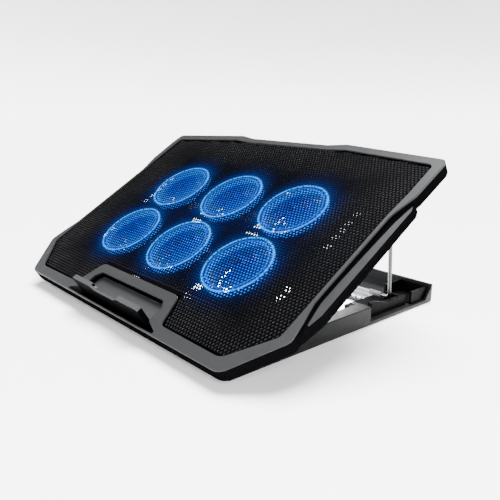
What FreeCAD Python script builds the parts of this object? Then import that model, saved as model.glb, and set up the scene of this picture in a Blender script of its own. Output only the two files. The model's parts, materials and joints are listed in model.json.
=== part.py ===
"""Laptop cooling pad: a tilting pad with six fans on a folding stand, held up by a wire prop.

Two frames are used. The pad is drawn flat: X to the right, Y to the rear, Z out of its top plane, with the
origin at the middle of the front edge of the top. The stand is drawn on the floor, with Y running back from
below that origin. At the end everything is moved to the part's own origin, the middle of its footprint.
"""
import FreeCAD, Part
import math
import os

from FreeCAD import Rotation, Vector

# ---- driving dimensions, mm ----
TILT = 31.5              # pad's slope when it stands on the prop, degrees
FRONT_HEIGHT = 16.0      # height of the top plane's front edge above the stand's base

FLANGE = 1.5             # bezel thickness
MESH_DROP = 1.6          # how far the perforated sheet lies below the bezel's top
MESH_T = 1.0
MESH_GAP = 1.2           # clearance between the sheet and the bezel's opening
RIM = 12.0               # height of the pad's rim
WALL = 2.0               # rim wall thickness
FLOOR = 1.5              # lower shell floor thickness
BELLY_HALF = 130.0       # half-width of the belly that holds the fans
BELLY_FRONT = 45.0
BELLY_REAR = 232.0
BELLY_DEPTH = 24.0       # belly's lowest face below the top plane

FAN_PITCH_X = 90.0
FAN_PITCH_Y = 80.0
FAN_MID_Y = 137.0
FAN_R = 34.6             # outer radius of a fan frame
FAN_BORE = 31.6          # inner radius of a fan frame
FAN_TOP = -8.6           # top of a fan frame
FAN_BOTTOM = -22.3
BLADES = 9
HUB_R = 12.0
SHAFT_R = 1.5
RUNNING_GAP = 0.05       # radial clearance of a running fit

RECESS_HALF = 61.0       # stopper's recess
RECESS_REAR = 33.5
RECESS_FLOOR = -6.4
FLARE_Y = 11.0           # where the recess starts to widen towards the front
FLARE_HALF = 84.0
LIP = 1.6                # width of the bezel left in front of the recess
STOPPER_HALF = 60.3
STOPPER_T = 5.0
STOPPER_TOP = 15.5
STOPPER_PIN_Y = 10.0
STOPPER_PIN_Z = -3.0
STOPPER_PIN_R = 1.0

HINGE_Y = 24.0           # tilt hinge, in the pad's frame
HINGE_Z = -16.0
HINGE_R = 1.9

ARM_IN = 143.0           # stand's arms
ARM_OUT = 158.0
ARM_TOP = 18.0
ARM_REAR = 192.5
BASE_T = 3.0
STAND_FRONT = 18.0
STAND_REAR = 300.0
REAR_WALL_T = 3.0
REAR_WALL_TOP = 19.0
DECK_FRONT = 236.0       # front edge of the rear deck

PROP_PIVOT_Y = 265.0     # prop's pivot, in the pad's frame
PROP_PIVOT_Z = -19.0
PROP_X = 140.0
PROP_R = 2.0
PROP_LENGTH = 128.0
PROP_LEAN = 5.6          # degrees from upright, foot to the rear

RACK_TOP = 17.5
RACK_LOW = 13.0
RACK_SEAT = 7.0          # height of the rack's floor under the crossbar
TOOTH_TIP = 14.0
TOOTH_PITCH = 13.0
FOOT_PROUD = 1.0         # how far the rubber feet stand below the base

# ---- worked-out values ----
SLOPE = math.radians(TILT)
X_AXIS = Vector(1, 0, 0)
Y_AXIS = Vector(0, 1, 0)
Z_AXIS = Vector(0, 0, 1)
EAR_TOP = FAN_TOP - 1.0
EAR_T = 2.0
POST_R = 3.0
POST_SPOTS = [
    (side * FAN_PITCH_X / 2, FAN_MID_Y + end * (FAN_PITCH_Y / 2 + 14))
    for side in (-1, 1)
    for end in (-1, 1)
]
FAN_CENTRES = [
    (column * FAN_PITCH_X, FAN_MID_Y + row * FAN_PITCH_Y)
    for row in (-0.5, 0.5)
    for column in (-1, 0, 1)
]


def on_stand(y, z):
    """The stand frame's (y, z) of a point given in the pad's frame."""
    back = y * math.cos(SLOPE) - z * math.sin(SLOPE)
    up = FRONT_HEIGHT + y * math.sin(SLOPE) + z * math.cos(SLOPE)
    return back, up


HINGE_BACK, HINGE_UP = on_stand(HINGE_Y, HINGE_Z)
PIVOT_BACK, PIVOT_UP = on_stand(PROP_PIVOT_Y, PROP_PIVOT_Z)
LEAN = math.radians(PROP_LEAN)
FOOT_BACK = PIVOT_BACK + PROP_LENGTH * math.sin(LEAN)
FOOT_UP = PIVOT_UP - PROP_LENGTH * math.cos(LEAN)

pad = {}
prop = {}
stand = {}


# ---- helpers ----
def rounded_wire(points):
    """A closed wire in the XY plane through (x, y, radius) corners, each rounded by an arc."""
    count = len(points)
    spans = []
    for index, (x, y, radius) in enumerate(points):
        here = Vector(x, y, 0)
        before = Vector(*points[index - 1][:2], 0)
        after = Vector(*points[(index + 1) % count][:2], 0)
        if radius <= 0:
            spans.append((here, None, here))
            continue
        to_before = (before - here).normalize()
        to_after = (after - here).normalize()
        half = to_before.getAngle(to_after) / 2
        start = here + to_before * (radius / math.tan(half))
        end = here + to_after * (radius / math.tan(half))
        bisector = (to_before + to_after).normalize()
        middle = here + bisector * (radius / math.sin(half) - radius)
        spans.append((start, middle, end))
    edges = []
    for index, (start, middle, end) in enumerate(spans):
        if middle is not None:
            edges.append(Part.Arc(start, middle, end).toShape())
        following = spans[(index + 1) % count][0]
        if end.distanceToPoint(following) > 1e-6:
            edges.append(Part.LineSegment(end, following).toShape())
    return Part.Wire(edges)


def prism(points, low, high):
    """A block with the given rounded outline between two heights."""
    face = Part.Face(rounded_wire(points))
    face.translate(Vector(0, 0, low))
    return face.extrude(Vector(0, 0, high - low))


def mirrored_outline(half):
    """The whole closed outline from its right half, listed from front to rear."""
    left = [(-x, y, radius) for x, y, radius in reversed(half) if x > 0]
    return half + left


def plate(points, left, right):
    """A block with the given (y, z) outline between two places along X."""
    corners = [Vector(left, y, z) for y, z in points]
    face = Part.Face(Part.makePolygon(corners + corners[:1]))
    return face.extrude(Vector(right - left, 0, 0))


def box(x0, x1, y0, y1, z0, z1):
    return Part.makeBox(x1 - x0, y1 - y0, z1 - z0, Vector(x0, y0, z0))


def tube(radius, start, end):
    """A cylinder from one point to another."""
    start = Vector(*start)
    run = Vector(*end) - start
    return Part.makeCylinder(radius, run.Length, start, run)


def ring(outer, inner, x, y, low, high):
    body = Part.makeCylinder(outer, high - low, Vector(x, y, low))
    return body.cut(Part.makeCylinder(inner, high - low, Vector(x, y, low)))


def both_sides(shape):
    """The shape and its mirror image across the middle plane."""
    return [shape, shape.mirror(Vector(0, 0, 0), X_AXIS)]


def fuse(shapes):
    first, rest = shapes[0], shapes[1:]
    if not rest:
        return first
    return first.multiFuse(rest).removeSplitter()


def cut(shape, tools):
    return shape.cut(Part.makeCompound(tools))


# ---- outlines, right half from front to rear ----
OUTER_HALF = [
    (166, 0, 14), (199.5, 46, 9), (196.5, 64, 20), (191.8, 84, 30), (191.8, 190, 40),
    (199, 218, 40), (200, 262, 6), (197.5, 271, 6), (81, 281, 12), (57, 277, 12),
]
INNER_HALF = [
    (66, 43.7, 8), (77.5, 12, 6), (157, 11, 12), (189, 46, 8), (188.6, 190, 40),
    (190.5, 220, 40), (190.5, 262, 6), (85, 271.7, 12), (62, 269.3, 12),
]
RECESS_OUTLINE_HALF = [
    (FLARE_HALF, LIP, 1.5), (RECESS_HALF, FLARE_Y, 3), (RECESS_HALF, RECESS_REAR - 7, 1),
    (RECESS_HALF - 6, RECESS_REAR, 4),
]
BUMP_HALF = [(190, 50, 2), (199, 52, 6), (203.8, 76, 20), (203.8, 205, 3), (200.5, 213, 3), (190, 213, 2)]
STRIP_HALF = [
    (198, 62, 1), (201.6, 78, 12), (201.8, 203, 1.5), (199.6, 211, 0.6), (196.2, 187, 20),
    (194.6, 150, 40), (193.2, 112, 20), (193.2, 88, 8),
]
BUMP_TOP = -5.0


# ---- pad: bezel and mesh ----
def make_bezel():
    frame = prism(mirrored_outline(OUTER_HALF), -FLANGE, 0)
    frame = frame.makeChamfer(0.5, [edge for edge in frame.Edges if edge.BoundBox.ZMin > -0.01])
    opening = prism(mirrored_outline(INNER_HALF), -FLANGE - 1, 1)
    recess = prism(mirrored_outline(RECESS_OUTLINE_HALF), -FLANGE - 1, 1)
    frame = cut(frame, [opening, recess])
    # walls under the flared ends of the recess, in the bezel's own colour
    flare = [(FLARE_HALF - 3, LIP + 1.1, 0), (RECESS_HALF, FLARE_Y, 0), (RECESS_HALF + 1.5, FLARE_Y + 0.6, 0),
             (FLARE_HALF - 1.0, LIP + 2.0, 0)]
    return fuse([frame] + both_sides(prism(flare, -10.2, -0.5)))


def make_mesh_panel():
    """The sheet lies just inside the bezel's opening, beside the bulge and below the top plane."""
    half = []
    for x, y, radius in INNER_HALF:
        across = MESH_GAP if x < RECESS_HALF + 20 and y < BELLY_FRONT else -MESH_GAP
        along = MESH_GAP if y < FAN_MID_Y else -MESH_GAP
        half.append((x + across, y + along, radius))
    return prism(mirrored_outline(half), -MESH_DROP - MESH_T, -MESH_DROP)


# ---- pad: lower shell ----
def belly_outline(inset):
    side = BELLY_HALF - inset
    front, rear = BELLY_FRONT + inset, BELLY_REAR - inset
    half = [(side - 14, front, 8), (side, front + 16, 8), (side, rear - 16, 8), (side - 14, rear, 8)]
    return mirrored_outline(half)


def grille_outline(inset, front, rear, chamfer_front):
    """Outline of one of the two vented plates in the belly's floor."""
    side = GRILLE_HALF - inset
    low, high = front + inset, rear - inset
    step = 11.0
    if chamfer_front:
        half = [(side - step, low, 2), (side, low + step, 2), (side, high, 2)]
    else:
        half = [(side, low, 2), (side, high - step, 2), (side - step, high, 2)]
    return mirrored_outline(half)


GRILLE_HALF = 124.0
# front, rear, and whether the front corners are cut off
GRILLE_SPANS = {"front": (50.0, 130.6, True), "rear": (143.4, 226.0, False)}
GUARD_RINGS = ((31, 25.2), (23.4, 18), (16.2, 11.5))    # outer and inner radius of each gap in a fan's guard
# windows between the fans, as y and half-width, then windows in the rim's floor beside the belly, as x and y
GRILLE_WINDOWS = (
    (60, 9), (72, 6.5), (98, 6.5), (111, 7), (123, 9),
    (151, 9), (163, 7), (176, 6.5), (206, 8), (218, 9),
)
RIM_WINDOWS = [(x, y) for x in (138.5, 150.0) for y in (84, 95, 150, 161, 172, 183, 194)]


def guard_cutters(x, y):
    """What is cut from a grille below a fan: three rings, crossed by six spokes."""
    low, high = -BELLY_DEPTH - 1, -BELLY_DEPTH + FLOOR + 1
    rings = [ring(outer, inner, x, y, low, high) for outer, inner in GUARD_RINGS]
    spokes = []
    for number in range(6):
        spoke = box(x + 8, x + 34, y - 1.1, y + 1.1, low, high)
        spoke.rotate(Vector(x, y, 0), Z_AXIS, 60 * number + 15)
        spokes.append(spoke)
    return [cut(Part.makeCompound(rings), spokes)]


def window(x, y, half_x, half_y, low, high):
    """A rounded oblong hole to be cut from a floor."""
    corners = [(half_x, -half_y), (half_x, half_y), (-half_x, half_y), (-half_x, -half_y)]
    return prism([(x + dx, y + dy, 1.2) for dx, dy in corners], low, high)


def vent_cutters(front, rear):
    """Windows in a grille, between the columns of fans."""
    low, high = -BELLY_DEPTH - 1, -BELLY_DEPTH + FLOOR + 1
    cutters = []
    for y, half in GRILLE_WINDOWS:
        if front < y < rear:
            cutters += both_sides(window(FAN_PITCH_X / 2, y, half, 4, low, high))
    return cutters


def make_grille(name):
    """A vented plate under one row of fans."""
    front, rear, chamfer_front = GRILLE_SPANS[name]
    body = prism(grille_outline(0.15, front, rear, chamfer_front), -BELLY_DEPTH, -BELLY_DEPTH + FLOOR)
    cutters = vent_cutters(front, rear)
    for x, y in FAN_CENTRES:
        if front < y < rear:
            cutters += guard_cutters(x, y)
    return cut(body, cutters)


SCREW_SPOTS = [(176, 40), (182, 140), (184, 250), (100, 20), (70, 262)]
PORT_X = (-24.0, 2.0)
DIAL_X = 28.0
DIAL_Y = 270.9
DIAL_R = 8.0
BUTTON_X = -45.0
REAR_EDGE = 277.0
CONTROL_Z = -6.4
BOARD_T = 0.8
BOARD_LOW = -RIM + FLOOR + 0.3


def make_lower_shell():
    """A black tray with side bumps and a belly, its rear wall cut for the controls and sockets."""
    outer = prism(mirrored_outline(OUTER_HALF), -RIM, -FLANGE)
    bump = prism(BUMP_HALF, -RIM, BUMP_TOP)
    bump = bump.makeChamfer(0.6, [e for e in bump.Edges if e.BoundBox.ZMin > BUMP_TOP - 0.01])
    belly = prism(belly_outline(0), -BELLY_DEPTH, -RIM + 0.5)
    belly = belly.makeChamfer(1.2, [e for e in belly.Edges if e.BoundBox.ZMax < -BELLY_DEPTH + 0.01])
    body = fuse([outer, belly] + both_sides(bump))
    inner = Part.Face(rounded_wire(mirrored_outline(OUTER_HALF))).makeOffset2D(-WALL)
    inner.translate(Vector(0, 0, -RIM + FLOOR))
    hollow = inner.extrude(Vector(0, 0, RIM))
    belly_hollow = prism(belly_outline(WALL), -BELLY_DEPTH + FLOOR, -RIM + FLOOR + 1)
    groove = box(-BELLY_HALF - 1, BELLY_HALF + 1, FAN_MID_Y - 2.9, FAN_MID_Y + 2.9, -BELLY_DEPTH - 1, -16.4)
    groove_wall = box(-BELLY_HALF + 1, BELLY_HALF - 1, FAN_MID_Y - 4.1, FAN_MID_Y + 4.1, -BELLY_DEPTH, -15.2)
    body = fuse([cut(body, [hollow, belly_hollow]), groove_wall])
    front_gap = prism(mirrored_outline(RECESS_OUTLINE_HALF), -RIM + FLOOR, 1)
    cutters = [groove, front_gap]
    strip_seat = prism(STRIP_HALF, BUMP_TOP - 0.8, BUMP_TOP + 1)
    cutters += both_sides(strip_seat)
    for front, rear, chamfer_front in GRILLE_SPANS.values():
        outline = grille_outline(0, front, rear, chamfer_front)
        cutters.append(prism(outline, -BELLY_DEPTH - 1, -BELLY_DEPTH + FLOOR + 0.1))
    for x, y in RIM_WINDOWS:
        cutters += both_sides(window(x, y, 4.2, 3.8, -RIM - 1, -RIM + FLOOR + 1))
    for x in PORT_X:
        cutters.append(box(x - 7.2, x + 7.2, 270, 280, CONTROL_Z - 3.2, CONTROL_Z + 3.2))
    cutters.append(box(DIAL_X - 9.5, DIAL_X + 9.5, 270, 280, CONTROL_Z - 2.2, CONTROL_Z + 2.2))
    cutters.append(box(BUTTON_X - 4.3, BUTTON_X + 4.3, 270, 280, CONTROL_Z - 2.3, CONTROL_Z + 2.3))
    bosses = []
    for x, y in SCREW_SPOTS:
        for side in (-1, 1):
            bosses.append(ring(3.4, 1.3, side * x, y, -RIM + FLOOR, -3))
            cutters.append(Part.makeCylinder(1.3, 8, Vector(side * x, y, -RIM - 1)))
    shell = cut(body, cutters)
    return fuse([shell] + bosses)


def make_shell_screws():
    screws = []
    for x, y in SCREW_SPOTS:
        for side in (-1, 1):
            head = Part.makeCylinder(2.4, 1.3, Vector(side * x, y, -RIM - 1.3))
            slot = box(side * x - 1.5, side * x + 1.5, y - 0.3, y + 0.3, -RIM - 1.4, -RIM - 0.7)
            cross = box(side * x - 0.3, side * x + 0.3, y - 1.5, y + 1.5, -RIM - 1.4, -RIM - 0.7)
            shank = Part.makeCylinder(1.2, 7, Vector(side * x, y, -RIM))
            screws.append(cut(fuse([head, shank]), [slot, cross]))
    return Part.makeCompound(screws)


# ---- pad: stopper at the front ----
def make_stopper_tray():
    """A shallow tray below the bulge, with two bosses that hold the stopper's pin."""
    front, rear = FLARE_Y + 1.6, RECESS_REAR + 2.2
    outer = box(-RECESS_HALF - 2.2, RECESS_HALF + 2.2, front, rear, RECESS_FLOOR - 2.4, -FLANGE)
    inner = box(-RECESS_HALF, RECESS_HALF, front - 1, RECESS_REAR, RECESS_FLOOR - 0.9, 1)
    tray = outer.cut(inner)
    boss = box(RECESS_HALF + 0.6, RECESS_HALF + 5.5, STOPPER_PIN_Y - 2.4, front + 1, -RIM + FLOOR, -1.6)
    # the boss stays behind the wall of the flare
    corners = [(RECESS_HALF - 5, LIP - 4), (FLARE_HALF + 5, LIP - 4), (FLARE_HALF + 2, LIP + 1.3),
               (RECESS_HALF + 1.6, FLARE_Y + 0.8), (RECESS_HALF - 5, FLARE_Y + 0.8)]
    flare = prism([(x, y, 0) for x, y in corners], -RIM, 1)
    return fuse([tray] + both_sides(boss.cut(flare)))


def make_recess_panel():
    side, rear = RECESS_HALF - 0.8, RECESS_REAR - 0.8
    half = [(side, FLARE_Y + 1.8, 1), (side, rear - 5.2, 1), (side - 4.2, rear, 2)]
    return prism(mirrored_outline(half), RECESS_FLOOR - 0.9, RECESS_FLOOR)


def make_stopper():
    """A plate on edge: full thickness at its ends, thinner and lower in the middle."""
    front = STOPPER_PIN_Y - 3.0
    rear = front + STOPPER_T
    low = STOPPER_PIN_Z - 7.0
    corners = [
        (STOPPER_HALF, low), (STOPPER_HALF, STOPPER_TOP - 1.5),
        (STOPPER_HALF - 1.5, STOPPER_TOP), (25, STOPPER_TOP), (17, STOPPER_TOP - 4),
    ]
    outline = corners + [(-x, z) for x, z in reversed(corners)]
    points = [Vector(x, front, z) for x, z in outline]
    body = Part.Face(Part.makePolygon(points + points[:1])).extrude(Vector(0, STOPPER_T, 0))
    deep, above = rear - 2.6, STOPPER_TOP + 1
    scoop = plate([(rear + 1, 2.0), (deep, 6.0), (deep, above), (rear + 1, above)], -24, 24)
    pin_line = [(end, STOPPER_PIN_Y, STOPPER_PIN_Z) for end in (-80, 80)]
    hole = tube(STOPPER_PIN_R + RUNNING_GAP, *pin_line)
    heel = plate([(rear + 1, low - 1), (rear - 1.6, low - 1), (rear + 1, low + 2.5)], -80, 80)
    return cut(body, [scoop, hole, heel])


# ---- pad: fans ----
def make_fan_housing(x, y):
    frame = ring(FAN_R, FAN_BORE, x, y, FAN_BOTTOM, FAN_TOP)
    cup = Part.makeCylinder(HUB_R - 1, 2.0, Vector(x, y, FAN_BOTTOM))
    arms = []
    for number in range(4):
        arm = box(x + HUB_R - 2, x + FAN_BORE + 0.5, y - 1.3, y + 1.3, FAN_BOTTOM, FAN_BOTTOM + 2.0)
        arm.rotate(Vector(x, y, 0), Z_AXIS, 90 * number + 45)
        arms.append(arm)
    ears = []
    for post_x, post_y in POST_SPOTS:
        reach = math.hypot(post_x - x, post_y - y)
        if reach > FAN_PITCH_X * 0.6:
            continue
        ear = box(x + FAN_R - 0.8, x + reach - POST_R - 0.2, y - 3, y + 3, EAR_TOP - EAR_T, EAR_TOP)
        ear.rotate(Vector(x, y, 0), Z_AXIS, math.degrees(math.atan2(post_y - y, post_x - x)))
        ears.append(ear)
    body = fuse([frame, cup] + arms + ears)
    return body.cut(Part.makeCylinder(SHAFT_R, 4, Vector(x, y, FAN_BOTTOM - 1)))


def make_fan_shaft(x, y):
    return Part.makeCylinder(SHAFT_R, 8.4, Vector(x, y, FAN_BOTTOM))


def make_fan_rotor(x, y):
    """A hub cap that turns on the axle, with swept, pitched blades."""
    low, high = FAN_BOTTOM + 2.6, FAN_TOP - 1.6
    hub = Part.makeCylinder(HUB_R, high - low, Vector(x, y, low))
    top = [e for e in hub.Edges if e.BoundBox.ZMin > high - 0.01 and len(e.Vertexes) == 1]
    hub = hub.makeFillet(1.2, top)
    bore = Part.makeCylinder(SHAFT_R + RUNNING_GAP, high - low - 1.8, Vector(x, y, low))
    blades = []
    reach = FAN_BORE - 0.9 - HUB_R + 0.8
    for number in range(BLADES):
        blade = box(HUB_R - 0.8, HUB_R - 0.8 + reach, -5.2, 5.2, -0.6, 0.6)
        blade.rotate(Vector(0, 0, 0), X_AXIS, 36)
        blade.translate(Vector(0, 0, (low + high) / 2))
        blade.rotate(Vector(0, 0, 0), Z_AXIS, number * 360 / BLADES)
        blade.translate(Vector(x, y, 0))
        blades.append(blade)
    wheel = fuse([hub] + blades)
    reach_limit = Part.makeCylinder(FAN_BORE - 0.8, high - low, Vector(x, y, low))
    return wheel.common(reach_limit).cut(bore)


def make_led_ring(x, y):
    """A light guide on top of a fan frame, with a bright outer ridge and a lower inner ridge."""
    base = ring(FAN_R + 0.4, FAN_BORE - 1.0, x, y, FAN_TOP, FAN_TOP + 1.0)
    outer = ring(FAN_R + 0.4, FAN_R - 1.4, x, y, FAN_TOP + 0.9, FAN_TOP + 2.6)
    inner = ring(FAN_BORE + 0.4, FAN_BORE - 1.0, x, y, FAN_TOP + 0.9, FAN_TOP + 2.0)
    return fuse([base, outer, inner])


def make_fan_clamps():
    """Posts between the fans, each with a washer and a screw that hold the ears of the fans beside it."""
    posts = []
    screws = []
    for x, y in POST_SPOTS:
        posts.append(ring(POST_R, 1.0, x, y, -BELLY_DEPTH + FLOOR, EAR_TOP))
        posts.append(ring(6.5, 1.0, x, y, EAR_TOP, EAR_TOP + 0.7))
        head = Part.makeCylinder(2.2, 1.2, Vector(x, y, EAR_TOP + 0.7))
        shank = Part.makeCylinder(1.0, 8.7, Vector(x, y, EAR_TOP - 8))
        screws.append(fuse([head, shank]))
    return posts, screws


# ---- pad: electronics ----
def make_control_board():
    """A board with a chip, a connector and a tall capacitor, behind the rear wall."""
    top = BOARD_LOW + BOARD_T
    board = box(-52, 46, 246, 273.5, BOARD_LOW, top)
    chip = box(-8, 2, 250, 257, top, top + 1.4)
    header = box(12, 34, 248, 252, top, top + 3.5)
    cap = Part.makeCylinder(2.5, 4.5, Vector(-34, 253, top))
    switch = box(BUTTON_X - 4, BUTTON_X + 4, 262, 269, top, top + 4.6)
    return fuse([board, chip, header, cap, switch])


def make_usb_port(x):
    shell = box(x - 6.9, x + 6.9, 262, 276.6, CONTROL_Z - 2.9, CONTROL_Z + 2.9)
    mouth = box(x - 6.3, x + 6.3, 263.5, 280, CONTROL_Z - 2.3, CONTROL_Z + 2.3)
    tongue = box(x - 5.5, x + 5.5, 263, 275.5, CONTROL_Z + 0.1, CONTROL_Z + 1.9)
    return fuse([shell.cut(mouth), tongue])


def make_speed_dial():
    wheel = Part.makeCylinder(DIAL_R, 3.2, Vector(DIAL_X, DIAL_Y, CONTROL_Z - 1.6))
    notches = []
    for number in range(24):
        notch = Part.makeCylinder(0.45, 4, Vector(DIAL_X + DIAL_R, DIAL_Y, CONTROL_Z - 2))
        notch.rotate(Vector(DIAL_X, DIAL_Y, 0), Z_AXIS, 15 * number)
        notches.append(notch)
    bore = Part.makeCylinder(1.2 + RUNNING_GAP, 4, Vector(DIAL_X, DIAL_Y, CONTROL_Z - 2))
    return cut(wheel, notches + [bore])


def make_dial_axle():
    return Part.makeCylinder(1.2, 6.0, Vector(DIAL_X, DIAL_Y, BOARD_LOW + BOARD_T))


def make_light_button():
    cap = box(BUTTON_X - 4, BUTTON_X + 4, 270.6, 278.2, CONTROL_Z - 2, CONTROL_Z + 2)
    edges = [e for e in cap.Edges if e.BoundBox.YMin > 278.1]
    return cap.makeFillet(0.6, edges)


def make_fan_wiring():
    """Bundles of leads, square in section, that gather from the fans and end before the board's header."""
    half = 0.9
    low = FAN_TOP + 0.7
    high = low + 2 * half
    leads = []
    for side in (-1, 1):
        x = side * (FAN_PITCH_X / 2 + 8)
        end_x = 23 + side * 5
        leads.append(box(x - half, x + half, 92, 238, low, high))
        bend = [(x - half, 237, 0), (x + half, 237, 0), (end_x + half, 244, 0), (end_x - half, 244, 0)]
        leads.append(prism(bend, low, high))
        leads.append(box(end_x - half, end_x + half, 243.5, 247.8, low, high))
        near = FAN_R + 1.0
        for row_y in (FAN_MID_Y - FAN_PITCH_Y / 2, FAN_MID_Y + FAN_PITCH_Y / 2):
            start, end = sorted((side * near, side * (FAN_PITCH_X - near)))
            leads.append(box(start, end, row_y - half, row_y + half, low, high))
    return fuse(leads)


# ---- pad: hinge and prop clips ----
def make_hinge_bracket():
    """A flat lug below the shell, rounded about the hinge pin."""
    lug = Part.makeCylinder(3.6, 5, Vector(136.5, HINGE_Y, HINGE_Z), X_AXIS)
    corners = [(HINGE_Y - 3.6, HINGE_Z), (HINGE_Y + 3.6, HINGE_Z), (HINGE_Y + 6, -RIM), (HINGE_Y - 6, -RIM)]
    root = plate(corners, 136.5, 141.5)
    pin = tube(HINGE_R + RUNNING_GAP, (130, HINGE_Y, HINGE_Z), (150, HINGE_Y, HINGE_Z))
    return cut(fuse([lug, root]), [pin])


def make_prop_clip():
    """A pair of cheeks below the shell's rear corner, either side of the prop's leg."""
    cheeks = []
    for left, right in ((130.6, 136.4), (143.6, 148.6)):
        shape = plate([(PROP_PIVOT_Y - 7, -RIM), (PROP_PIVOT_Y - 3.6, PROP_PIVOT_Z - 2.6),
                       (PROP_PIVOT_Y - 2, PROP_PIVOT_Z - 4), (PROP_PIVOT_Y + 2, PROP_PIVOT_Z - 4),
                       (PROP_PIVOT_Y + 3.6, PROP_PIVOT_Z - 2.6), (PROP_PIVOT_Y + 5.5, -RIM)], left, right)
        cheeks.append(shape)
    bridge = box(130.6, 148.6, PROP_PIVOT_Y - 7, PROP_PIVOT_Y + 5.5, -RIM - 1.6, -RIM)
    bore = tube(PROP_R + RUNNING_GAP, (120, PROP_PIVOT_Y, PROP_PIVOT_Z), (160, PROP_PIVOT_Y, PROP_PIVOT_Z))
    return cut(fuse(cheeks + [bridge]), [bore])


# ---- prop, in the stand's frame ----
def make_wire_prop():
    """A round wire: two short pivots in the clips, two legs and a crossbar, with bent corners."""
    bend = 5.0
    along = Vector(0, math.sin(LEAN), -math.cos(LEAN))
    top = Vector(PROP_X, PIVOT_BACK, PIVOT_UP)
    foot = top + along * PROP_LENGTH
    outward = X_AXIS
    pivot_end = top + outward * 8.0
    diagonal = 1 - math.sqrt(0.5)
    upper_arc = Part.Arc(top + outward * bend * 0.6,
                         top + (outward + along) * (bend * 0.6 * diagonal),
                         top + along * bend * 0.6).toShape()
    lower_arc = Part.Arc(foot - along * bend,
                         foot - (outward + along) * (bend * diagonal),
                         foot - outward * bend).toShape()
    right = [
        Part.LineSegment(pivot_end, top + outward * bend * 0.6).toShape(),
        upper_arc,
        Part.LineSegment(top + along * bend * 0.6, foot - along * bend).toShape(),
        lower_arc,
        Part.LineSegment(foot - outward * bend, Vector(0, foot.y, foot.z)).toShape(),
    ]
    path = Part.Wire(right)
    section = Part.Wire(Part.Circle(pivot_end, outward, PROP_R).toShape())
    half = path.makePipeShell([section], True, False)
    return fuse(both_sides(half))


def make_prop_sleeve():
    """A plastic sleeve on the crossbar's end, where it stands in the rack."""
    outer = tube(PROP_R + 0.8, (116, FOOT_BACK, FOOT_UP), (130, FOOT_BACK, FOOT_UP))
    return outer.cut(tube(PROP_R, (115, FOOT_BACK, FOOT_UP), (131, FOOT_BACK, FOOT_UP)))


# ---- stand ----
def make_stand_frame():
    side_view = [(STAND_FRONT, 0), (STAND_FRONT, 7), (HINGE_BACK - 4, HINGE_UP - 0.4),
                 (HINGE_BACK - 1.4, ARM_TOP), (ARM_REAR, ARM_TOP), (ARM_REAR, 0)]
    arm = plate(side_view, ARM_IN, ARM_OUT)
    arm_edges = [e for e in arm.Edges
                 if e.BoundBox.ZMin > ARM_TOP - 0.01 and e.BoundBox.XLength < 0.01]
    arm = arm.makeFillet(1.0, arm_edges)
    hollow = box(ARM_IN + 2, ARM_OUT - 2, STAND_FRONT + 18, ARM_REAR - 2, -1, ARM_TOP - 2)
    arm = arm.cut(hollow)
    front_bar = box(-ARM_IN - 0.5, ARM_IN + 0.5, STAND_FRONT, 42, 0, 7)
    bar_hollow = box(-ARM_IN + 3, ARM_IN - 3, STAND_FRONT + 2, 40, -1, 5)
    side_rail = box(ARM_IN - 14, ARM_OUT, ARM_REAR - 30, STAND_REAR, 0, BASE_T)
    flange = box(ARM_IN - 5, ARM_IN + 0.5, 41, ARM_REAR - 29, 0, BASE_T)
    deck = box(-ARM_IN + 10, ARM_IN - 10, DECK_FRONT, STAND_REAR, 0, BASE_T)
    rib = box(-ARM_IN + 12, ARM_IN - 12, 262, 265, BASE_T - 0.1, 7.0)
    wall = box(-ARM_OUT, ARM_OUT, STAND_REAR - REAR_WALL_T, STAND_REAR, 0, REAR_WALL_TOP)
    gusset = plate([(STAND_REAR - 14, 0), (STAND_REAR - 1, 0), (STAND_REAR - 1, REAR_WALL_TOP - 1.5)],
                   ARM_OUT - 2.5, ARM_OUT)
    parts = [front_bar.cut(bar_hollow), deck, wall, rib]
    for piece in (arm, side_rail, flange, gusset):
        parts += both_sides(piece)
    body = fuse(parts)
    bores = both_sides(tube(HINGE_R, (ARM_IN - 1, HINGE_BACK, HINGE_UP), (152, HINGE_BACK, HINGE_UP)))
    return cut(body, bores)


def make_rack():
    """A toothed rack: a floor that the crossbar stands on, teeth behind it, and a high outer cheek."""
    front = 203.0
    rear = 262.0
    inner, outer = 118.0, 151.0
    floor = box(inner, outer, front, rear, BASE_T, RACK_SEAT)
    cheek = plate([(front, RACK_SEAT - 1), (front, RACK_TOP), (front + 7, RACK_TOP), (front + 24, RACK_LOW),
                   (rear, RACK_LOW), (rear, RACK_SEAT - 1)], 146.0, outer)
    teeth = []
    first = FOOT_BACK + PROP_R + 1.2
    for number in range(2):
        start = first + number * TOOTH_PITCH * 0.45
        teeth.append(plate([(start, RACK_SEAT - 1), (start + 0.4, TOOTH_TIP - number * 1.5),
                            (start + 2.0, TOOTH_TIP - number * 1.5), (start + 5.4, RACK_SEAT + 0.6),
                            (start + 5.4, RACK_SEAT - 1)], 131.0, 146.5))
    screw_hole = Part.makeCylinder(1.5, 9, Vector(125, front + 8, BASE_T - 1))
    return cut(fuse([floor, cheek] + teeth), [screw_hole])


def make_cross_plate():
    """A thin bright plate between the racks, with a row of small teeth along its front edge."""
    body = box(-117.4, 117.4, 239, 257, BASE_T, 5.2)
    slots = [box(x - 1.2, x + 1.2, 238, 240.6, BASE_T - 1, 6) for x in range(-112, 113, 7)]
    return cut(body, slots)


def make_end_pocket():
    """A black open box in the stand's rear corner that the prop's clip drops into when the pad lies flat."""
    outer = box(121, 154.5, 266, STAND_REAR - REAR_WALL_T, BASE_T, 16.5)
    inner = box(123, 152.5, 264, STAND_REAR - REAR_WALL_T - 2, BASE_T + 1.5, 20)
    return outer.cut(inner)


FOOT_SPOTS = [(150.5, 30), (150.5, 285), (60, 30), (60, 285)]


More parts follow.
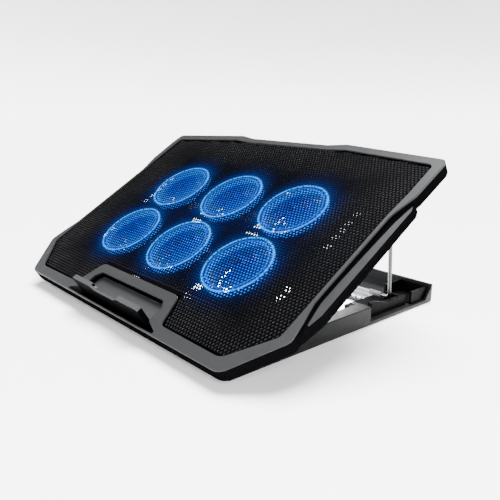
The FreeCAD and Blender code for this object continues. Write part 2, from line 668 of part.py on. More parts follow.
def make_rubber_feet():
    feet = []
    for x, y in FOOT_SPOTS:
        for side in (-1, 1):
            foot = Part.makeCylinder(5.5, FOOT_PROUD, Vector(side * x, y, -FOOT_PROUD))
            edges = [e for e in foot.Edges if e.BoundBox.ZMax < -FOOT_PROUD + 0.01]
            feet.append(foot.makeChamfer(0.3, edges))
    return Part.makeCompound(feet)


def make_stand_screws():
    screws = []
    for side in (-1, 1):
        spot = Vector(side * 125, 211, RACK_SEAT)
        head = Part.makeCylinder(2.6, 1.4, spot)
        shank = Part.makeCylinder(1.4, RACK_SEAT - BASE_T, spot - Vector(0, 0, RACK_SEAT - BASE_T))
        drive = box(spot.x - 1.7, spot.x + 1.7, 210.7, 211.3, RACK_SEAT + 0.7, RACK_SEAT + 2)
        cross = box(spot.x - 0.3, spot.x + 0.3, 209.3, 212.7, RACK_SEAT + 0.7, RACK_SEAT + 2)
        screws.append(cut(fuse([head, shank]), [drive, cross]))
    return Part.makeCompound(screws)


# ---- build every piece ----
pad["bezel_frame"] = make_bezel()
pad["mesh_panel"] = make_mesh_panel()
pad["lower_shell"] = make_lower_shell()
pad["fan_grille_front"] = make_grille("front")
pad["fan_grille_rear"] = make_grille("rear")
strip = prism(STRIP_HALF, BUMP_TOP - 0.8, BUMP_TOP + 0.4)
pad["side_strip_right"], pad["side_strip_left"] = both_sides(strip)
pad["stopper_tray"] = make_stopper_tray()
pad["recess_panel"] = make_recess_panel()
pad["stopper"] = make_stopper()
pin_span = RECESS_HALF + 4.6
pad["stopper_pin"] = tube(STOPPER_PIN_R, (-pin_span, STOPPER_PIN_Y, STOPPER_PIN_Z),
                          (pin_span, STOPPER_PIN_Y, STOPPER_PIN_Z))
pad["stopper_tray"] = pad["stopper_tray"].cut(pad["stopper_pin"])
pad["bezel_frame"] = pad["bezel_frame"].cut(pad["stopper_pin"])
for number, (x, y) in enumerate(FAN_CENTRES, start=1):
    pad["fan_housing_%d" % number] = make_fan_housing(x, y)
    pad["fan_rotor_%d" % number] = make_fan_rotor(x, y)
    pad["led_ring_%d" % number] = make_led_ring(x, y)
pad["fan_axles"] = Part.makeCompound([make_fan_shaft(x, y) for x, y in FAN_CENTRES])
clamps, clamp_screws = make_fan_clamps()
pad["fan_clamps"] = Part.makeCompound(clamps)
pad["fan_screws"] = Part.makeCompound(clamp_screws)
pad["control_board"] = make_control_board()
pad["usb_port_left"] = make_usb_port(PORT_X[0])
pad["usb_port_right"] = make_usb_port(PORT_X[1])
pad["speed_dial"] = make_speed_dial()
pad["dial_axle"] = make_dial_axle()
pad["light_button"] = make_light_button()
pad["fan_wiring"] = make_fan_wiring()
pad["shell_screws"] = make_shell_screws()
pad["hinge_brackets"] = Part.makeCompound(both_sides(make_hinge_bracket()))
pad["prop_clips"] = Part.makeCompound(both_sides(make_prop_clip()))

prop["wire_prop"] = make_wire_prop()
prop["prop_sleeves"] = Part.makeCompound(both_sides(make_prop_sleeve()))

stand["stand_frame"] = make_stand_frame()
stand["rack_right"], stand["rack_left"] = both_sides(make_rack())
stand["cross_plate"] = make_cross_plate()
stand["end_pocket_right"], stand["end_pocket_left"] = both_sides(make_end_pocket())
hinge_pin = tube(HINGE_R, (136, HINGE_BACK, HINGE_UP), (152, HINGE_BACK, HINGE_UP))
stand["hinge_pins"] = Part.makeCompound(both_sides(hinge_pin))
stand["rubber_feet"] = make_rubber_feet()
stand["stand_screws"] = make_stand_screws()

# ---- tilt the pad, then move all to the part's origin ----
for shape in pad.values():
    shape.rotate(Vector(0, 0, 0), X_AXIS, TILT)
    shape.translate(Vector(0, 0, FRONT_HEIGHT))

nodes = {**pad, **prop, **stand}
whole = FreeCAD.BoundBox()
for shape in nodes.values():
    whole.add(shape.optimalBoundingBox(False))
ORIGIN = Vector(0, -(whole.YMin + whole.YMax) / 2, -whole.ZMin)

os.makedirs("parts", exist_ok=True)
for name, shape in nodes.items():
    shape.translate(ORIGIN)
    shape.exportStep("parts/%s.step" % name)
print("size", round(whole.XLength, 2), round(whole.YLength, 2), round(whole.ZLength, 2), "moved", ORIGIN)
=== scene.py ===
import json
import math

import bmesh
import bpy
from mathutils import Matrix, Vector


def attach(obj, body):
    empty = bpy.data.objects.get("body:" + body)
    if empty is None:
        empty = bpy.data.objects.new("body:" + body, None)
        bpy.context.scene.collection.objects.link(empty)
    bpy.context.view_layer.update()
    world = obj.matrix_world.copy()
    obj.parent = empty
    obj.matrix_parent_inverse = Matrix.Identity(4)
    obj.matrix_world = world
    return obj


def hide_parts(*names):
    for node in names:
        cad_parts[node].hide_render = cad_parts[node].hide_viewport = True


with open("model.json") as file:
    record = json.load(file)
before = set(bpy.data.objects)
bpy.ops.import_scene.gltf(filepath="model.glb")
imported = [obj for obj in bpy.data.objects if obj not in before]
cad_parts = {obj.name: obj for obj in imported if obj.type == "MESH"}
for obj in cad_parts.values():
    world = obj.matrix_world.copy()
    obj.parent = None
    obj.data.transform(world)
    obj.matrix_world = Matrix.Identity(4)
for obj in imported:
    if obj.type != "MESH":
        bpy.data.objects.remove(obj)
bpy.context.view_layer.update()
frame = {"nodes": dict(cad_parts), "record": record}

record = frame["record"]
mounts = {mount["name"]: mount for mount in record["mounts"]}

# ---- the pad's own frame: x to the right, y to the rear along the pad, z out of its top plane, in mm ----
MM = 0.001
REST_Y, REST_Z = 150.0, -1.6          # where the laptop_rest mount lies in that frame
up_axis = Vector(mounts["laptop_rest"]["axis"]).normalized()
side_axis = Vector((1, 0, 0))
back_axis = up_axis.cross(side_axis)
pad_origin = Vector(mounts["laptop_rest"]["pos_m"]) - back_axis * REST_Y * MM - up_axis * REST_Z * MM
PAD = Matrix.Translation(pad_origin) @ Matrix((side_axis, back_axis, up_axis)).transposed().to_4x4()
PAD = PAD @ Matrix.Scale(MM, 4)
INTO_PAD = PAD.inverted()


def pad_box(name):
    """The lowest and highest corners of a CAD node, in the pad's own frame."""
    spots = [INTO_PAD @ vert.co for vert in frame["nodes"][name].data.vertices]
    return [Vector([pick(spot[k] for spot in spots) for k in range(3)]) for pick in (min, max)]


joints = {joint["name"]: joint for joint in record["behaviour"]["joints"]}
fan_spots = [INTO_PAD @ Vector(joints[f"fan_spin_{number}"]["pos_m"]) for number in range(1, 7)]
FAN_CENTRES = [(spot.x, spot.y) for spot in fan_spots]      # three in the front row, then three behind
FAN_PITCH_X = fan_spots[1].x - fan_spots[0].x
FAN_PITCH_Y = fan_spots[3].y - fan_spots[0].y
FAN_MID_Y = (fan_spots[0].y + fan_spots[3].y) / 2


# ---- node helpers ----
class Graph:
    """Short calls for building a material's nodes."""

    def __init__(self, name):
        self.material = bpy.data.materials.new(name)
        self.material.use_nodes = True
        self.nodes = self.material.node_tree.nodes
        self.links = self.material.node_tree.links
        self.shader = self.nodes["Principled BSDF"]

    def add(self, kind, **values):
        node = self.nodes.new(kind)
        for key, value in values.items():
            setattr(node, key, value)
        return node

    def feed(self, socket, value):
        """Links an output to the socket, or sets the socket to a plain value."""
        if isinstance(value, bpy.types.NodeSocket):
            self.links.new(value, socket)
        elif value is not None:
            socket.default_value = value

    def set(self, **values):
        for key, value in values.items():
            self.feed(self.shader.inputs[key.replace("_", " ")], value)

    def math(self, operation, a, b=None, c=None, clamp=False):
        node = self.add("ShaderNodeMath", operation=operation, use_clamp=clamp)
        for socket, value in zip(node.inputs, (a, b, c)):
            self.feed(socket, value)
        return node.outputs[0]

    def coords(self):
        return self.add("ShaderNodeTexCoord").outputs["Object"]

    def noise(self, scale, detail=3.0, vector=None, stretch=None):
        """A noise value, from 0 to 1, with features of about 1 / scale metres."""
        vector = vector or self.coords()
        if stretch:
            mapping = self.add("ShaderNodeMapping")
            self.feed(mapping.inputs["Vector"], vector)
            mapping.inputs["Scale"].default_value = stretch
            vector = mapping.outputs[0]
        node = self.add("ShaderNodeTexNoise")
        self.feed(node.inputs["Vector"], vector)
        node.inputs["Scale"].default_value = scale
        node.inputs["Detail"].default_value = detail
        return node.outputs["Fac"]

    def between(self, value, low, high):
        """Low at 0.25 and below, high at 0.75 and above, and a straight line between them."""
        node = self.add("ShaderNodeMapRange")
        self.feed(node.inputs["Value"], value)
        node.inputs["From Min"].default_value = 0.25
        node.inputs["From Max"].default_value = 0.75
        node.inputs["To Min"].default_value = low
        node.inputs["To Max"].default_value = high
        return node.outputs[0]

    def ramp(self, value, start, end):
        """0 at the start, 1 at the end, a straight line between them, and held beyond both."""
        node = self.add("ShaderNodeMapRange")
        self.feed(node.inputs["Value"], value)
        node.inputs["From Min"].default_value = start
        node.inputs["From Max"].default_value = end
        return node.outputs[0]

    def mix(self, factor, a, b):
        node = self.add("ShaderNodeMix", data_type="RGBA")
        self.feed(node.inputs[0], factor)
        for socket, colour in ((node.inputs[6], a), (node.inputs[7], b)):
            if isinstance(colour, bpy.types.NodeSocket):
                self.links.new(colour, socket)
            else:
                socket.default_value = (*colour, 1)
        return node.outputs[2]

    def bump(self, height, strength, distance):
        node = self.add("ShaderNodeBump")
        node.inputs["Strength"].default_value = strength
        node.inputs["Distance"].default_value = distance
        self.feed(node.inputs["Height"], height)
        self.feed(self.shader.inputs["Normal"], node.outputs[0])

    def pad_xyz(self):
        """The pad frame's x, y and z of the shaded point, in mm."""
        out = []
        for axis in (side_axis, back_axis, up_axis):
            dot = self.add("ShaderNodeVectorMath", operation="DOT_PRODUCT")
            self.feed(dot.inputs[0], self.coords())
            dot.inputs[1].default_value = axis / MM
            out.append(self.math("SUBTRACT", dot.outputs["Value"], axis.dot(pad_origin) / MM))
        return out

    def fan_radius(self):
        """The distance in mm, along the pad, to the nearest fan's centre."""
        x, y, _ = self.pad_xyz()
        near = self.math("MINIMUM", self.math("MAXIMUM", x, -FAN_PITCH_X), FAN_PITCH_X)
        column = self.math("ROUND", self.math("DIVIDE", near, FAN_PITCH_X))
        across = self.math("SUBTRACT", x, self.math("MULTIPLY", column, FAN_PITCH_X))
        row = self.math("ABSOLUTE", self.math("SUBTRACT", y, FAN_MID_Y))
        along = self.math("SUBTRACT", row, FAN_PITCH_Y / 2)
        squares = self.math("ADD", self.math("MULTIPLY", across, across), self.math("MULTIPLY", along, along))
        return self.math("SQRT", squares)

    def bell(self, value, middle, width):
        """1 where the value is at the middle, falling off smoothly over the width."""
        off = self.math("DIVIDE", self.math("SUBTRACT", value, middle), width)
        return self.math("POWER", math.e, self.math("MULTIPLY", self.math("MULTIPLY", off, off), -1.0))


# ---- finishes ----
def moulded(name, colour, rough, metallic=0.0, grain=1600, depth=0.00006, vary=0.25, coat=0.0, dull=0.10):
    """Moulded plastic or satin paint: a fine spark texture, faint cloudiness and uneven gloss."""
    g = Graph(name)
    cloud = g.noise(28, 4)
    light = tuple(min(1.0, c * (1 + vary)) for c in colour)
    dark = tuple(c * (1 - vary) for c in colour)
    g.set(Base_Color=g.mix(cloud, dark, light))
    g.set(Roughness=g.between(g.noise(160, 3), rough - 0.06, rough + 0.06), Metallic=metallic)
    g.set(Specular_IOR_Level=dull)
    if coat:
        g.set(Coat_Weight=coat, Coat_Roughness=0.25)
    g.bump(g.noise(grain, 2), 0.35, depth)
    return g.material


def painted_top_highlight(name, colour, lit_top_colour):
    """Dark satin moulded plastic with a painted highlight: the faces that look up from the pad are paler, as
    if lit from above.
    """
    g = Graph(name)
    facing = g.add("ShaderNodeVectorMath", operation="DOT_PRODUCT")
    g.feed(facing.inputs[0], g.add("ShaderNodeTexCoord").outputs["Normal"])
    facing.inputs[1].default_value = up_axis
    # painted highlight: a paler colour on the faces that look up from the pad
    top = g.math("GREATER_THAN", facing.outputs["Value"], 0.6)
    g.set(Base_Color=g.mix(top, colour, lit_top_colour), Specular_IOR_Level=0.004)
    g.set(Roughness=g.between(g.noise(160, 3), 0.36, 0.46))
    g.bump(g.noise(1600, 2), 0.35, 0.00006)
    return g.material


def metal(name, colour, rough, stretch=(1, 1, 1), scratch=900):
    """Bare metal with fine drawn lines along one direction."""
    g = Graph(name)
    lines = g.noise(scratch, 4, stretch=stretch)
    g.set(Base_Color=g.mix(lines, tuple(c * 0.78 for c in colour), colour), Metallic=1.0)
    g.set(Roughness=g.between(lines, rough - 0.07, rough + 0.09))
    g.bump(lines, 0.25, 0.00004)
    return g.material


def rubber(name, colour):
    g = Graph(name)
    dust = g.noise(220, 5)
    g.set(Base_Color=g.mix(dust, colour, tuple(c * 1.9 + 0.004 for c in colour)))
    g.set(Roughness=g.between(dust, 0.72, 0.9), Specular_IOR_Level=0.35)
    g.bump(g.noise(2600, 2), 0.3, 0.00005)
    return g.material


# ---- the fans' light, with radii in mm from a fan's centre ----
GLOW = (0.0, 0.10, 1.0)
GLOW_PALE = (0.02, 0.38, 1.0)


def glow_mesh(name, base):
    """Powder coat with the lit rings' light painted on: two bright ring lines, and a soft wash about them."""
    g = Graph(name)
    radius = g.fan_radius()
    x, y, _ = g.pad_xyz()
    cloud = g.noise(40, 4)
    g.set(Base_Color=g.mix(cloud, tuple(c * 0.6 for c in base), tuple(c * 1.4 for c in base)))
    g.set(Roughness=g.between(g.noise(500, 3), 0.42, 0.6), Specular_IOR_Level=0.005)
    outer = g.bell(radius, 34.6, 1.1)
    inner = g.bell(radius, 30.4, 0.9)
    wash = g.bell(radius, 29.0, 11.0)
    # painted light too: a faint glow inside each ring and over the middle of the pad
    inside = g.math("LESS_THAN", radius, 33.0)
    amid = g.math("MULTIPLY", g.bell(x, 0.0, 105.0), g.bell(y, FAN_MID_Y, 42.0))
    power = 0.0
    for part, strength in ((outer, 2.2), (inner, 1.0), (wash, 0.17), (inside, 0.05), (amid, 0.035)):
        power = g.math("MULTIPLY_ADD", part, strength, power)
    g.set(Emission_Color=g.mix(outer, GLOW, GLOW_PALE), Emission_Strength=power)
    g.bump(g.noise(3000, 2), 0.3, 0.00004)
    return g.material


def hole_edge(name):
    """The holes' cut edges: painted light, patchy grey, over the shallow margins, painted shade, near black,
    over the belly, and a painted blue glow of the fans' light near the fans.
    """
    g = Graph(name)
    x, y, _ = g.pad_xyz()
    beside = g.ramp(g.math("ABSOLUTE", x), 118.0, 172.0)
    before = g.ramp(y, 66.0, 30.0)
    behind = g.ramp(y, 214.0, 252.0)
    shallow = g.math("MAXIMUM", g.math("MAXIMUM", beside, before), behind)
    patchy = g.between(g.noise(26, 2, stretch=(1, 0.4, 0.4)), 0.45, 1.0)
    painted_lit_margin = g.math("MULTIPLY", shallow, patchy)
    # painted light and shade: grey hole walls over the shallow margins, near black over the belly
    g.set(Base_Color=g.mix(painted_lit_margin, (0.0006, 0.0006, 0.0008), (0.046, 0.047, 0.049)))
    g.set(Roughness=g.between(g.noise(600, 3), 0.4, 0.6), Specular_IOR_Level=0.03)
    radius = g.fan_radius()
    lit = g.bell(radius, 14.0, 22.0)
    # painted glow: the fans' blue light on the hole walls near each fan
    g.set(Emission_Color=g.mix(g.bell(radius, 30.0, 9.0), GLOW, GLOW_PALE))
    g.set(Emission_Strength=g.math("MULTIPLY", lit, 1.5))
    return g.material


def glow_solid(name, colour, low, high, scale):
    """A light guide: blue plastic that gives light a little unevenly."""
    g = Graph(name)
    uneven = g.noise(scale, 3)
    g.set(Base_Color=g.mix(uneven, tuple(c * 0.6 for c in colour), colour), Roughness=0.35)
    g.set(Emission_Color=g.mix(uneven, GLOW, colour), Emission_Strength=g.between(uneven, low, high))
    return g.material


MATERIALS = {
    "bezel_grey": moulded("bezel_grey", (0.0185, 0.0191, 0.0199), 0.42, metallic=0.1, vary=0.10),
    "panel_grey": moulded("panel_grey", (0.0300, 0.0308, 0.0320), 0.42, metallic=0.1, vary=0.12),
    "strip_grey": moulded("strip_grey", (0.0190, 0.0196, 0.0204), 0.38, metallic=0.1, vary=0.10),
    "mesh_black": glow_mesh("mesh_black", (0.0008, 0.0008, 0.0010)),
    "shell_black": moulded("shell_black", (0.0014, 0.0014, 0.0016), 0.42, vary=0.3, dull=0.0),
    "stopper_grey": painted_top_highlight("stopper_grey", (0.0009, 0.0010, 0.0011), (0.034, 0.035, 0.037)),
    "rotor_blue": glow_solid("rotor_blue", (0.002, 0.10, 0.8), 0.35, 1.2, 60),
    "fan_black": glow_solid("fan_black", (0.001, 0.008, 0.06), 0.02, 0.12, 90),
    "led_blue": glow_solid("led_blue", (0.01, 0.30, 1.0), 1.2, 2.0, 120),
    "steel": metal("steel", (0.085, 0.087, 0.092), 0.26, stretch=(1, 1, 0.05)),
    "screw_black": metal("screw_black", (0.06, 0.06, 0.065), 0.42),
    "board_green": moulded("board_green", (0.008, 0.055, 0.028), 0.35, grain=700, vary=0.3, coat=0.4),
    "port_metal": metal("port_metal", (0.62, 0.63, 0.65), 0.2, scratch=500),
    "control_black": moulded("control_black", (0.010, 0.010, 0.011), 0.5, vary=0.2),
    "lead_black": rubber("lead_black", (0.008, 0.008, 0.009)),
    "sleeve_grey": rubber("sleeve_grey", (0.03, 0.03, 0.032)),
    "stand_grey": moulded("stand_grey", (0.0040, 0.0042, 0.0044), 0.40, vary=0.12, grain=1300),
    "rack_black": moulded("rack_black", (0.0010, 0.0010, 0.0011), 0.36, vary=0.2, dull=0.02),
    "plate_bright": metal("plate_bright", (0.72, 0.73, 0.75), 0.3, stretch=(0.04, 1, 1), scratch=1200),
    "foot_rubber": rubber("foot_rubber", (0.010, 0.010, 0.010)),
}
HOLE_EDGE = hole_edge("hole_edge")
BEVELS = {          # width of the softened edges, in mm
    "bezel_frame": 0.35,
    "stopper": 0.4,
    "side_strip_left": 0.15,
    "side_strip_right": 0.15,
    "lower_shell": 0.3,
}
SLOT_OF = {entry["node"]: entry["material_slot"] for entry in record["subparts"]}
for name, node in frame["nodes"].items():
    node.data.materials.clear()
    node.data.materials.append(MATERIALS[SLOT_OF[name]])
    if name in BEVELS:
        bevel = node.modifiers.new("edge", "BEVEL")
        bevel.width = BEVELS[name] * MM
        bevel.segments = 2
        bevel.limit_method = "ANGLE"
        bevel.angle_limit = math.radians(50)
        bevel.harden_normals = True


def new_piece(name, mesh, slot_name, body):
    """A piece made from a mesh and linked in, with its finish and the body that it rides on."""
    piece = bpy.data.objects.new(name, mesh)
    bpy.context.scene.collection.objects.link(piece)
    mesh.materials.append(MATERIALS[slot_name])
    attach(piece, body)
    return piece


# ---- camera: its place in metres, and its right and up directions ----
CAMERA_SPOT = Vector((0.45688, -0.38340, 0.20507))
CAMERA_RIGHT = Vector((0.66881, 0.74325, 0.01634))
CAMERA_UP = Vector((-0.19792, 0.15682, 0.96759))
camera_data = bpy.data.cameras.new("camera")
camera_data.lens = 41.18
camera_data.sensor_width = 36.0
camera_data.clip_start = 0.01
camera = bpy.data.objects.new("camera", camera_data)
bpy.context.scene.collection.objects.link(camera)
camera_turn = Matrix((CAMERA_RIGHT, CAMERA_UP, CAMERA_RIGHT.cross(CAMERA_UP))).transposed()
camera.matrix_world = Matrix.Translation(CAMERA_SPOT) @ camera_turn.to_4x4()
bpy.context.scene.camera = camera


# ---- the perforated top ----
HOLE_PITCH = 3.6
HOLE_R = 1.12
WALL_BELLY, WALL_MARGIN = 0.6, 1.25                 # depth of the holes' walls
BELLY_HALF, BELLY_FRONT, BELLY_REAR = 128, 50, 228
SOLID_EDGE, HOLED_EDGE = 0.9, 2.0                   # how near the outline a plain cell and a hole may come
SHEET_HALF, SHEET_FRONT, SHEET_REAR = 189.4, 11.6, 271.0
REAR_BEND = 85                                      # from here outwards the rear edge slopes forward
BULGE_HALF, BULGE_REAR, FLANK_REAR = 67, 44.9, 46   # the bezel's bulge, and where its slanted flank ends
sheet_high = pad_box("mesh_panel")[1]
SHEET_TOP = sheet_high.z


def inside_outline(x, y, margin):
    """True where a cell fits: within the sheet's corners and clear of the bulge at the front."""
    x = abs(x)
    dip = (x - REAR_BEND) * 0.092 if x >= REAR_BEND else max(0.0, 1.6 - (REAR_BEND - x) * 0.07)
    in_bulge = x < BULGE_HALF + margin and y < BULGE_REAR + margin
    past_front_corner = (x - 157) * 0.737 - (y - 11) * 0.676
    past_flank = (x - 66) * 0.940 + (y - 43.7) * 0.341
    limits = (
        x < SHEET_HALF - margin,
        SHEET_FRONT + margin < y < SHEET_REAR - margin - dip,
        past_front_corner < -margin,
        not in_bulge,
        past_flank > margin + 0.8 or y > FLANK_REAR,
    )
    return all(limits)


def make_perforated_sheet():
    """A sheet of hexagonal cells, each a ring of quads about a small hole with a short wall."""
    mesh = bmesh.new()
    row_step = HOLE_PITCH * math.sqrt(3) / 2
    cell_r = HOLE_PITCH / math.sqrt(3)
    last_row = math.ceil(sheet_high.y / row_step)
    last_column = math.ceil(sheet_high.x / HOLE_PITCH)
    angles = [math.radians(30 + 60 * step) for step in range(6)]
    shared = {}

    def corner(x, y):
        key = (round(x, 3), round(y, 3))
        if key not in shared:
            shared[key] = mesh.verts.new(PAD @ Vector((x, y, SHEET_TOP)))
        return shared[key]

    for row in range(last_row + 1):
        for column in range(-last_column - 1, last_column + 1):
            x = (column + 0.5 * (row % 2)) * HOLE_PITCH
            y = row * row_step
            if not inside_outline(x, y, SOLID_EDGE):
                continue
            outer = [corner(x + cell_r * math.cos(a), y + cell_r * math.sin(a)) for a in angles]
            if not inside_outline(x, y, HOLED_EDGE):
                mesh.faces.new(outer)
                continue
            over_belly = abs(x) < BELLY_HALF and BELLY_FRONT < y < BELLY_REAR
            wall_depth = WALL_BELLY if over_belly else WALL_MARGIN
            top = []
            low = []
            for a in angles:
                px, py = x + HOLE_R * math.cos(a), y + HOLE_R * math.sin(a)
                top.append(mesh.verts.new(PAD @ Vector((px, py, SHEET_TOP))))
                low.append(mesh.verts.new(PAD @ Vector((px, py, SHEET_TOP - wall_depth))))
            for step in range(6):
                after = (step + 1) % 6
                mesh.faces.new((outer[step], outer[after], top[after], top[step]))
                wall = mesh.faces.new((top[step], top[after], low[after], low[step]))
                wall.material_index = 1
    data = bpy.data.meshes.new("perforated_top")
    mesh.normal_update()
    mesh.to_mesh(data)
    mesh.free()
    return data


perforated = new_piece("perforated_top", make_perforated_sheet(), "mesh_black", "pad")
perforated.data.materials.append(HOLE_EDGE)
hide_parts("mesh_panel")


def finished(mesh, name):
    """The mesh, made into data with outward normals, smooth except at sharp edges."""
    bmesh.ops.remove_doubles(mesh, verts=mesh.verts, dist=1e-7)
    bmesh.ops.recalc_face_normals(mesh, faces=mesh.faces)
    for edge in mesh.edges:
        edge.smooth = len(edge.link_faces) == 2 and edge.calc_face_angle(0.0) < math.radians(40)
    for face in mesh.faces:
        face.smooth = True
    data = bpy.data.meshes.new(name)
    mesh.to_mesh(data)
    mesh.free()
    return data


# ---- fan rotors: a rounded hub with swept, twisted blades ----
FAN_LOW, FAN_HIGH = (corner.z for corner in pad_box("fan_rotor_1"))
HUB_R, BLADE_TIP, BORE_R = 12.0, 30.6, 1.6
HUB_SIDES = 60
BLADE_ROOT = HUB_R - 0.9                # the blades start just inside the hub's wall
BLADE_COUNT = 9
BLADE_GRID = 8                          # quads along and across each face of a blade


def add_hub(mesh, x, y):
    """A cap with a shallow groove in its top, a rounded shoulder, and a bore for the axle from below."""
    groove, shoulder, cap = FAN_HIGH - 0.3, 1.4, FAN_HIGH - 1.8
    profile = [(0.0, FAN_HIGH), (7.2, FAN_HIGH), (7.5, groove), (8.2, groove), (8.5, FAN_HIGH)]
    for a in (0, 0.4, 0.8, 1.2, 1.57):
        out, up = shoulder * math.sin(a), shoulder * math.cos(a)
        profile.append((HUB_R - shoulder + out, FAN_HIGH - shoulder + up))
    profile += [(HUB_R, FAN_LOW), (BORE_R, FAN_LOW), (BORE_R, cap), (0.0, cap)]
    angles = [2 * math.pi * side / HUB_SIDES for side in range(HUB_SIDES)]
    rings = []
    for radius, z in profile:
        spots = [(x + radius * math.cos(a), y + radius * math.sin(a), z) for a in angles]
        rings.append([mesh.verts.new(spot) for spot in spots])
    for upper, lower in zip(rings, rings[1:]):
        for i in range(HUB_SIDES):
            after = (i + 1) % HUB_SIDES
            mesh.faces.new((upper[i], upper[after], lower[after], lower[i]))


def add_blade(mesh, x, y, start):
    """One blade: swept back along its radius, flatter towards the tip, cambered and thin at its edges."""
    middle = (FAN_LOW + FAN_HIGH) / 2
    sheets = []
    for face in (1, -1):
        rows = []
        for i in range(BLADE_GRID + 1):
            t = i / BLADE_GRID
            radius = BLADE_ROOT + (BLADE_TIP - BLADE_ROOT) * t
            pitch = math.radians(40 - 14 * t)
            half = 5.0 + 2.6 * t - 2.2 * t ** 6
            row = []
            for j in range(BLADE_GRID + 1):
                c = 2 * j / BLADE_GRID - 1
                off = 0.7 * (1 - c * c) + face * 0.55 * (1 - 0.75 * c * c)      # bow, and half the thickness
                along = c * half * math.cos(pitch) - off * math.sin(pitch)
                rise = c * half * math.sin(pitch) + off * math.cos(pitch)
                angle = start + math.radians(22) * t * t + along / radius
                spot = (x + radius * math.cos(angle), y + radius * math.sin(angle), middle + rise)
                row.append(mesh.verts.new(spot))
            rows.append(row)
        sheets.append(rows)
    upper, lower = sheets
    for rows in sheets:
        for i in range(BLADE_GRID):
            for j in range(BLADE_GRID):
                mesh.faces.new((rows[i][j], rows[i + 1][j], rows[i + 1][j + 1], rows[i][j + 1]))
    for i in range(BLADE_GRID):
        for j in (0, BLADE_GRID):
            mesh.faces.new((upper[i][j], upper[i + 1][j], lower[i + 1][j], lower[i][j]))
            mesh.faces.new((upper[j][i], upper[j][i + 1], lower[j][i + 1], lower[j][i]))


for number, (fan_x, fan_y) in enumerate(FAN_CENTRES, start=1):
    wheel = bmesh.new()
    add_hub(wheel, fan_x, fan_y)
    for blade in range(BLADE_COUNT):
        add_blade(wheel, fan_x, fan_y, 2 * math.pi * blade / BLADE_COUNT)
    bmesh.ops.transform(wheel, matrix=PAD, verts=wheel.verts)
    rotor = new_piece(f"rotor_{number}_blades", finished(wheel, "rotor"), "rotor_blue", f"rotor_{number}")
    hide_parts(f"fan_rotor_{number}")


# ---- fan leads: three insulated wires twisted together along each run ----
leads_low, leads_high = pad_box("fan_wiring")
LEAD_LEVEL = (leads_low.z + leads_high.z) / 2
LEAD_R, LEAD_LAY, LEAD_TWIST = 0.42, 0.48, 11.0      # a wire's radius, its offset, and one turn's length
LEAD_SIDES, LEAD_STRANDS = 6, 3
LEAD_CORNER, LEAD_STEP, CORNER_STEPS = 1.5, 1.6, 6


def rounded_path(points, radius, step):
    """Points at most about a step apart along a polyline whose corners are rounded."""
    path = [Vector(points[0])]
    for before, here, after in zip(points, points[1:], points[2:]):
        before, here, after = Vector(before), Vector(here), Vector(after)
        start = here + (before - here).normalized() * radius
        end = here + (after - here).normalized() * radius
        for t in (i / CORNER_STEPS for i in range(CORNER_STEPS + 1)):
            path.append(start * (1 - t) ** 2 + here * 2 * t * (1 - t) + end * t * t)
    path.append(Vector(points[-1]))
    dense = [path[0]]
    for a, b in zip(path, path[1:]):
        count = max(1, round((b - a).length / step))
        dense += [a.lerp(b, k / count) for k in range(1, count + 1)]
    return dense


def add_strand(mesh, path, phase):
    """One wire of a twisted group, with closed ends."""
    angles = [2 * math.pi * side / LEAD_SIDES for side in range(LEAD_SIDES)]
    rings = []
    travelled = 0.0
    for i, spot in enumerate(path):
        ahead = (path[min(i + 1, len(path) - 1)] - path[max(i - 1, 0)]).normalized()
        across = ahead.cross(Vector((0, 0, 1))).normalized()
        over = across.cross(ahead)
        if i:
            travelled += (spot - path[i - 1]).length
        turn = phase + 2 * math.pi * travelled / LEAD_TWIST
        centre = spot + (across * math.cos(turn) + over * math.sin(turn)) * LEAD_LAY
        spots = [centre + (across * math.cos(a) + over * math.sin(a)) * LEAD_R for a in angles]
        rings.append([mesh.verts.new(v) for v in spots])
    for near, far in zip(rings, rings[1:]):
        for k in range(LEAD_SIDES):
            after = (k + 1) % LEAD_SIDES
            mesh.faces.new((near[k], near[after], far[after], far[k]))
    mesh.faces.new(rings[0])
    mesh.faces.new(rings[-1])


leads = bmesh.new()
for side in (-1, 1):
    trunk = side * (FAN_PITCH_X / 2 + 8)
    finish = 23 + side * 5
    trunk_line = [(trunk, leads_low.y), (trunk, 237), (finish, 244.5), (finish, leads_high.y - 0.1)]
    runs = [[(x, y, LEAD_LEVEL) for x, y in trunk_line]]
    for row in (-0.5, 0.5):
        row_y = FAN_MID_Y + row * FAN_PITCH_Y
        runs.append([(side * 35.7, row_y, LEAD_LEVEL), (trunk - side * 1.0, row_y, LEAD_LEVEL)])
    for run in runs:
        line = rounded_path(run, LEAD_CORNER, LEAD_STEP)
        for strand in range(LEAD_STRANDS):
            add_strand(leads, line, strand * 2 * math.pi / LEAD_STRANDS)
bmesh.ops.transform(leads, matrix=PAD, verts=leads.verts)
twisted = new_piece("twisted_leads", finished(leads, "leads"), "lead_black", "pad")
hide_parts("fan_wiring")


# ---- soft pads at the ends of the stopper's scooped middle ----
def add_soft_block(mesh, low, high, soft):
    """A block with rounded edges."""
    made = bmesh.ops.create_cube(mesh, size=1.0)
    low, high = Vector(low), Vector(high)
    size, middle = high - low, (low + high) / 2
    for vert in made["verts"]:
        vert.co = Vector((vert.co.x * size.x, vert.co.y * size.y, vert.co.z * size.z)) + middle
    edges = list(dict.fromkeys(edge for vert in made["verts"] for edge in vert.link_edges))
    bmesh.ops.bevel(mesh, geom=edges, offset=soft, segments=3, profile=0.5, affect="EDGES")


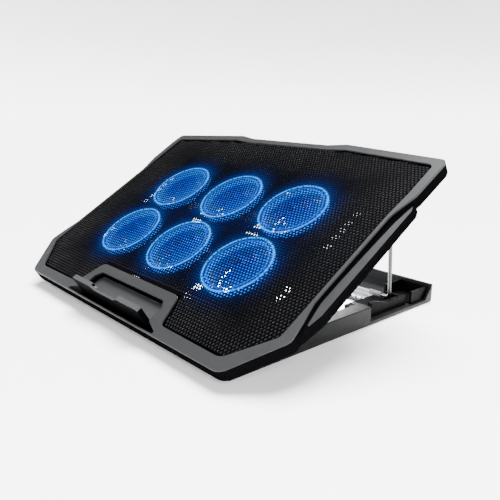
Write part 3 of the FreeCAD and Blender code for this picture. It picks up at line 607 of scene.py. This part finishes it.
PAD_NEAR, PAD_FAR = 18.5, 23.6                    # the pads' ends, from the middle
PAD_ROUNDING = 0.5
stopper_high = pad_box("stopper")[1]
pads = bmesh.new()
for side in (-1, 1):
    left, right = sorted((side * PAD_NEAR, side * PAD_FAR))
    low_corner = (left, stopper_high.y - 2.55, stopper_high.z - 8.5)
    high_corner = (right, stopper_high.y - 0.4, stopper_high.z - 3.5)
    add_soft_block(pads, low_corner, high_corner, PAD_ROUNDING)
bmesh.ops.transform(pads, matrix=PAD, verts=pads.verts)
new_piece("stopper_pads", finished(pads, "stopper_pads"), "sleeve_grey", "stopper")


# ---- stage and light ----
def area_light(name, spot, aim, size, power):
    """A rectangular lamp at the spot, turned towards the aim."""
    data = bpy.data.lights.new(name, "AREA")
    data.shape = "RECTANGLE"
    data.size, data.size_y = size
    data.energy = power
    lamp = bpy.data.objects.new(name, data)
    bpy.context.scene.collection.objects.link(lamp)
    lamp.location = spot
    lamp.rotation_euler = (Vector(aim) - Vector(spot)).to_track_quat("-Z", "Y").to_euler()


def sun_light(name, direction, strength, spread):
    """Even light along the direction; a wide spread in degrees gives soft shadows."""
    data = bpy.data.lights.new(name, "SUN")
    data.energy = strength
    data.angle = math.radians(spread)
    lamp = bpy.data.objects.new(name, data)
    bpy.context.scene.collection.objects.link(lamp)
    lamp.rotation_euler = Vector(direction).to_track_quat("-Z", "Y").to_euler()


def make_stage():
    """A wide pale floor that curves up all round, far from the object, and an even white surround."""
    flat, bend, sides = 5.0, 2.5, 72
    profile = [(flat * 0.5, 0.0), (flat, 0.0)]
    profile += [(flat + bend * math.sin(a), bend - bend * math.cos(a)) for a in (0.3, 0.6, 0.9, 1.2, 1.45)]
    verts = [(0.0, 0.0, 0.0)]
    faces = []
    for ring_number, (radius, height) in enumerate(profile):
        for side in range(sides):
            angle = 2 * math.pi * side / sides
            verts.append((radius * math.cos(angle), radius * math.sin(angle), height))
        here = 1 + ring_number * sides
        for side in range(sides):
            after = (side + 1) % sides
            if ring_number == 0:
                faces.append((0, here + side, here + after))
            else:
                faces.append((here + side - sides, here + side, here + after, here + after - sides))
    data = bpy.data.meshes.new("floor")
    data.from_pydata(verts, [], faces)
    for face in data.polygons:
        face.use_smooth = True
    floor = bpy.data.objects.new("floor", data)
    bpy.context.scene.collection.objects.link(floor)
    g = Graph("floor_pale")
    g.set(Base_Color=(0.92, 0.92, 0.92, 1), Roughness=0.7, Specular_IOR_Level=0.1)
    g.set(Emission_Color=(1, 1, 1, 1), Emission_Strength=0.12)
    data.materials.append(g.material)
    world = bpy.data.worlds.new("studio")
    bpy.context.scene.world = world
    world.use_nodes = True
    surround = world.node_tree.nodes["Background"]
    surround.inputs["Color"].default_value = (1, 1, 1, 1)
    surround.inputs["Strength"].default_value = 0.22


make_stage()
sun_light("overhead", (0.10, -0.30, -1.0), 20.0, 42)
area_light("side", (1.2, -0.7, 0.7), (0.05, 0, 0.08), (0.7, 0.5), 30)
area_light("under", (0.0, 0.04, 0.05), (0, 0.04, 0), (0.2, 0.14), 2.2)
